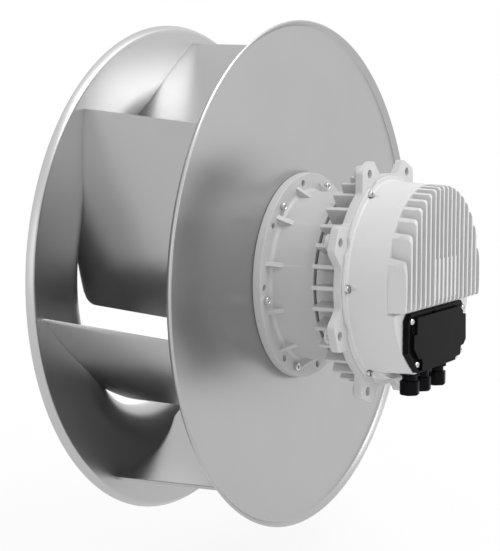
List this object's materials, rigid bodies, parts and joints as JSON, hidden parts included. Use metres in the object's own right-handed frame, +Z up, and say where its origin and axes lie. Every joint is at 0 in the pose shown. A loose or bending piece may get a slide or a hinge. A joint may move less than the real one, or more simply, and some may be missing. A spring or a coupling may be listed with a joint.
{
  "type": "plug fan",
  "caption": "Centrifugal plug fan: backward-curved impeller on an external-rotor motor with a finned electronics housing, mounting lugs and cable glands.",
  "frame": {"origin": "centre of the eight-lug bolt circle, on the lugs' mounting face", "axes": "+Z up; Y is the fan axis, with the air inlet towards +Y and the electronics towards -Y; the cable glands point to -Z"},
  "size_m": [0.6494, 0.4475, 0.6494],
  "materials": {
    "disc_sheet": "bare aluminium sheet, satin",
    "shroud_sheet": "bare aluminium sheet, satin",
    "blade_sheet": "bare aluminium sheet, satin",
    "rotor_paint": "light grey paint on a casting",
    "stator_paint": "light grey paint on a casting",
    "housing_paint": "light grey paint on a casting",
    "cover_plastic": "fine-grained black plastic",
    "gland_plastic": "smooth black plastic",
    "seal_rubber": "black rubber",
    "core_iron": "stacked steel sheet",
    "magnet_ferrite": "sintered ferrite",
    "winding_copper": "enamelled copper wire",
    "lead_plastic": "insulated wire",
    "board_laminate": "green lacquered board",
    "can_sleeve": "shrunk plastic sleeve",
    "module_plastic": "moulded black plastic",
    "screw_chrome": "bright zinc-plated steel",
    "bearing_steel": "ground bearing steel"
  },
  "bodies": {
    "motor": {"motor_flange": "stator_paint", "bearing_sleeve": "bearing_steel", "preload_washer": "bearing_steel", "rear_bearing_outer_ring": "bearing_steel", "front_bearing_outer_ring": "bearing_steel", "stator_core": "core_iron", "stator_coils": "winding_copper", "motor_leads": "lead_plastic", "lead_grommet": "seal_rubber", "electronics_housing": "housing_paint", "housing_seal": "seal_rubber", "housing_screws": "screw_chrome", "circuit_board": "board_laminate", "board_screws": "screw_chrome", "capacitors": "can_sleeve", "power_module": "module_plastic", "choke": "winding_copper", "terminal_block": "module_plastic", "cover_gasket": "seal_rubber", "terminal_cover": "cover_plastic", "cover_screws": "screw_chrome", "gland_seals": "seal_rubber", "gland_bodies": "gland_plastic", "gland_inserts": "seal_rubber", "gland_nuts": "gland_plastic", "gland_locknuts": "gland_plastic"},
    "impeller": {"back_disc": "disc_sheet", "front_shroud": "shroud_sheet", "blade_1": "blade_sheet", "blade_2": "blade_sheet", "blade_3": "blade_sheet", "blade_4": "blade_sheet", "blade_5": "blade_sheet", "blade_6": "blade_sheet", "blade_7": "blade_sheet", "rotor_bell": "rotor_paint", "rotor_iron_ring": "core_iron", "rotor_magnets": "magnet_ferrite", "rotor_shaft": "bearing_steel", "shaft_circlip": "bearing_steel", "rear_bearing_inner_ring": "bearing_steel", "front_bearing_inner_ring": "bearing_steel", "impeller_screws": "screw_chrome", "impeller_nuts": "screw_chrome"},
    "rear_ball_set": {"rear_bearing_balls": "bearing_steel", "rear_bearing_cage": "bearing_steel"},
    "front_ball_set": {"front_bearing_balls": "bearing_steel", "front_bearing_cage": "bearing_steel"}
  },
  "joints": [
    {"name": "impeller_spin", "type": "hinge", "parent": "motor", "child": "impeller", "pos_m": [0, 0.06, 0], "axis": [0, -1, 0], "continuous": true},
    {"name": "rear_cage_spin", "type": "hinge", "parent": "motor", "child": "rear_ball_set", "pos_m": [0, 0.0235, 0], "axis": [0, -1, 0], "continuous": true},
    {"name": "front_cage_spin", "type": "hinge", "parent": "motor", "child": "front_ball_set", "pos_m": [0, 0.0945, 0], "axis": [0, -1, 0], "continuous": true}
  ],
  "couplings": [
    {"joint": "rear_cage_spin", "follows": "impeller_spin", "ratio": 0.3961},
    {"joint": "front_cage_spin", "follows": "impeller_spin", "ratio": 0.3961}
  ]
}
